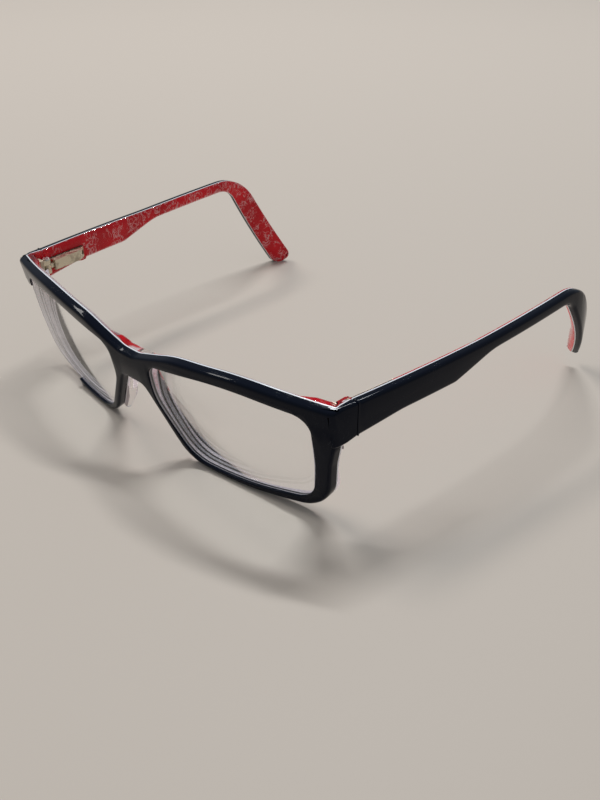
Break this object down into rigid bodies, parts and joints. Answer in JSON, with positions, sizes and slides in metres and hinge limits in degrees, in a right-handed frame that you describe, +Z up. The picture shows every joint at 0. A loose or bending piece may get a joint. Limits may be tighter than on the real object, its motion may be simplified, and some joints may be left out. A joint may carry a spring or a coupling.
{
  "type": "broken eyeglasses",
  "caption": "Rectangular full-rim eyeglasses in black, white and red acetate layers, with spring-hinged temples and a rim snapped away beside one lens.",
  "frame": {"origin": "middle of the glasses' width and depth, on the surface they stand on", "axes": "+X to the wearer's left, the front faces -Y with the temples reaching back to +Y, +Z up"},
  "size_m": [0.149, 0.132, 0.0385],
  "materials": {
    "black_acetate": "polished black cellulose acetate",
    "white_acetate": "polished white acetate line",
    "red_acetate": "polished clear acetate over a red film printed with pale squiggles",
    "lens": "clear polished prescription lens",
    "hinge_metal": "satin pale gold plating",
    "screw_steel": "plain bright steel"
  },
  "bodies": {
    "front": {"front_black_sheet": "black_acetate", "front_white_line": "white_acetate", "front_red_sheet": "red_acetate", "left_lens": "lens", "right_lens": "lens", "left_hinge_plate": "hinge_metal", "left_hinge_screw": "screw_steel", "right_hinge_plate": "hinge_metal", "right_hinge_screw": "screw_steel"},
    "left_slider": {"left_slider": "hinge_metal", "left_stop_nut": "screw_steel"},
    "left_temple": {"left_temple_black": "black_acetate", "left_temple_white_line": "white_acetate", "left_temple_red": "red_acetate", "left_spring_box": "hinge_metal", "left_spring_sleeve": "screw_steel", "left_spring": "screw_steel"},
    "right_slider": {"right_slider": "hinge_metal", "right_stop_nut": "screw_steel"},
    "right_temple": {"right_temple_black": "black_acetate", "right_temple_white_line": "white_acetate", "right_temple_red": "red_acetate", "right_spring_box": "hinge_metal", "right_spring_sleeve": "screw_steel", "right_spring": "screw_steel"}
  },
  "joints": [
    {"name": "left_temple_fold", "type": "hinge", "parent": "front", "child": "left_slider", "pos_m": [0.0632, -0.04884, 0.03145], "axis": [0, 0, 1], "range_deg": [0, 75]},
    {"name": "left_temple_spring_back", "type": "slide", "parent": "left_slider", "child": "left_temple", "axis": [0.1435, 0.9897, 0], "range_m": [0, 0.0014], "stiffness_N_per_m": 2000, "springref_m": -0.001, "deforming": ["left_spring"]},
    {"name": "right_temple_fold", "type": "hinge", "parent": "front", "child": "right_slider", "pos_m": [-0.0632, -0.04884, 0.03145], "axis": [0, 0, -1], "range_deg": [0, 90]},
    {"name": "right_temple_spring_back", "type": "slide", "parent": "right_slider", "child": "right_temple", "axis": [-0.1435, 0.9897, 0], "range_m": [0, 0.0014], "stiffness_N_per_m": 2000, "springref_m": -0.001, "deforming": ["right_spring"]}
  ]
}
